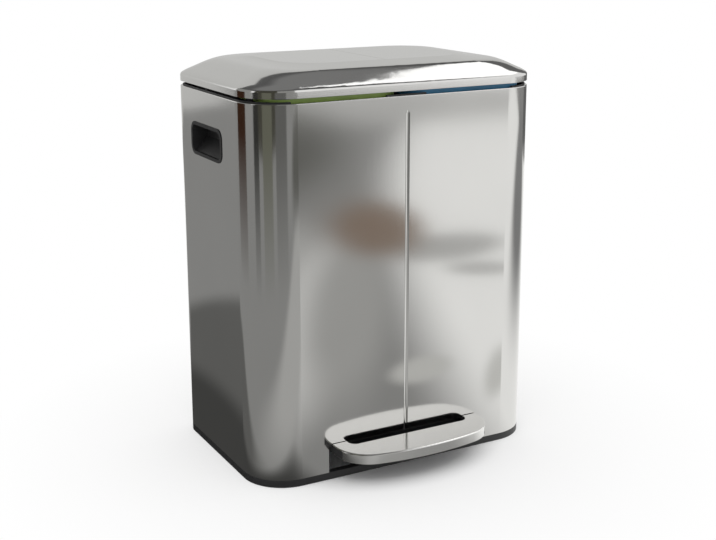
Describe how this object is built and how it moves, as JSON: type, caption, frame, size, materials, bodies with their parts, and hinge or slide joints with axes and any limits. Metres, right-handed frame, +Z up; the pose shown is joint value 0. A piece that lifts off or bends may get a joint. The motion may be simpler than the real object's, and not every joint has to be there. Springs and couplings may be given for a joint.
{
  "type": "double recycling bin",
  "caption": "Free-standing steel double recycling bin with a foot pedal, a rear-hinged lid, side grips and lift-out inner buckets with coloured handles.",
  "frame": {"origin": "on the floor, in the middle of the whole bin with its pedal", "axes": "+Z up, front with the pedal towards -Y, +X to the right seen from the front"},
  "size_m": [0.482, 0.3774, 0.6107],
  "materials": {
    "shell_steel": "satin polished stainless steel",
    "lid_steel": "satin stainless steel",
    "pedal_steel": "fine brushed stainless steel",
    "black_plastic": "fine moulded grain",
    "grip_plastic": "fine moulded grain",
    "liner_plastic": "fine moulded grain",
    "bucket_plastic": "fine moulded grain",
    "green_plastic": "smooth moulded",
    "blue_plastic": "smooth moulded",
    "pale_plastic": "smooth moulded",
    "rubber": "matt",
    "bracket_steel": "zinc plated",
    "pin_steel": "smooth drawn",
    "spring_steel": "blued",
    "screw_steel": "zinc plated",
    "black_metal": "satin black"
  },
  "bodies": {
    "housing": {"shell": "shell_steel", "base_ring": "black_plastic", "rubber_feet": "rubber", "base_floor": "black_plastic", "collar": "black_plastic", "lid_bumpers": "rubber", "hinge_bracket": "bracket_steel", "rear_channel": "black_plastic", "rod_guides": "pale_plastic", "damper_cylinder": "black_metal", "lever_bracket": "bracket_steel", "lever_pin": "pin_steel", "lever_clips": "spring_steel", "bracket_screws": "screw_steel", "hinge_screws": "screw_steel", "left_grip": "grip_plastic", "left_grip_retainer": "black_plastic", "right_grip": "grip_plastic", "right_grip_retainer": "black_plastic"},
    "lid": {"lid_cover": "lid_steel", "lid_liner": "liner_plastic", "lid_hinge": "bracket_steel", "lid_screws": "screw_steel", "hinge_pin": "pin_steel", "hinge_clips": "spring_steel"},
    "pedal": {"pedal_cover": "pedal_steel", "pedal_body": "black_plastic", "pedal_lever": "bracket_steel", "pedal_screws": "screw_steel"},
    "rod": {"push_rod": "pin_steel", "rod_head": "pale_plastic", "rod_foot": "pale_plastic", "link_pin": "pin_steel", "damper_stem": "pin_steel", "damper_yoke": "pale_plastic"},
    "left_bucket_body": {"left_bucket": "bucket_plastic"},
    "right_bucket_body": {"right_bucket": "bucket_plastic"},
    "left_bail_body": {"left_bail": "green_plastic"},
    "right_bail_body": {"right_bail": "blue_plastic"}
  },
  "joints": [
    {"name": "lid_hinge_turn", "type": "hinge", "parent": "housing", "child": "lid", "pos_m": [0, 0.18125, 0.578], "axis": [-1, 0, 0], "range_deg": [0, 75]},
    {"name": "pedal_press", "type": "hinge", "parent": "housing", "child": "pedal", "pos_m": [0, -0.01325, 0.029], "axis": [1, 0, 0], "range_deg": [0, 11.95]},
    {"name": "rod_slide", "type": "slide", "parent": "housing", "child": "rod", "axis": [0, 0, 1], "range_m": [0, 0.0356]},
    {"name": "left_bucket_lift", "type": "slide", "parent": "housing", "child": "left_bucket_body", "axis": [0, 0, 1], "range_m": [0, 0.004]},
    {"name": "right_bucket_lift", "type": "slide", "parent": "housing", "child": "right_bucket_body", "axis": [0, 0, 1], "range_m": [0, 0.004]},
    {"name": "left_bail_turn", "type": "hinge", "parent": "left_bucket_body", "child": "left_bail_body", "pos_m": [-0.108, 0.02275, 0.56605], "axis": [-1, 0, 0], "range_deg": [0, 5]},
    {"name": "right_bail_turn", "type": "hinge", "parent": "right_bucket_body", "child": "right_bail_body", "pos_m": [0.108, 0.02275, 0.56605], "axis": [-1, 0, 0], "range_deg": [0, 5]}
  ],
  "couplings": [
    {"joint": "pedal_press", "follows": "lid_hinge_turn", "ratio": 0.1592},
    {"joint": "rod_slide", "follows": "lid_hinge_turn", "m_per_rad": 0.02712}
  ]
}
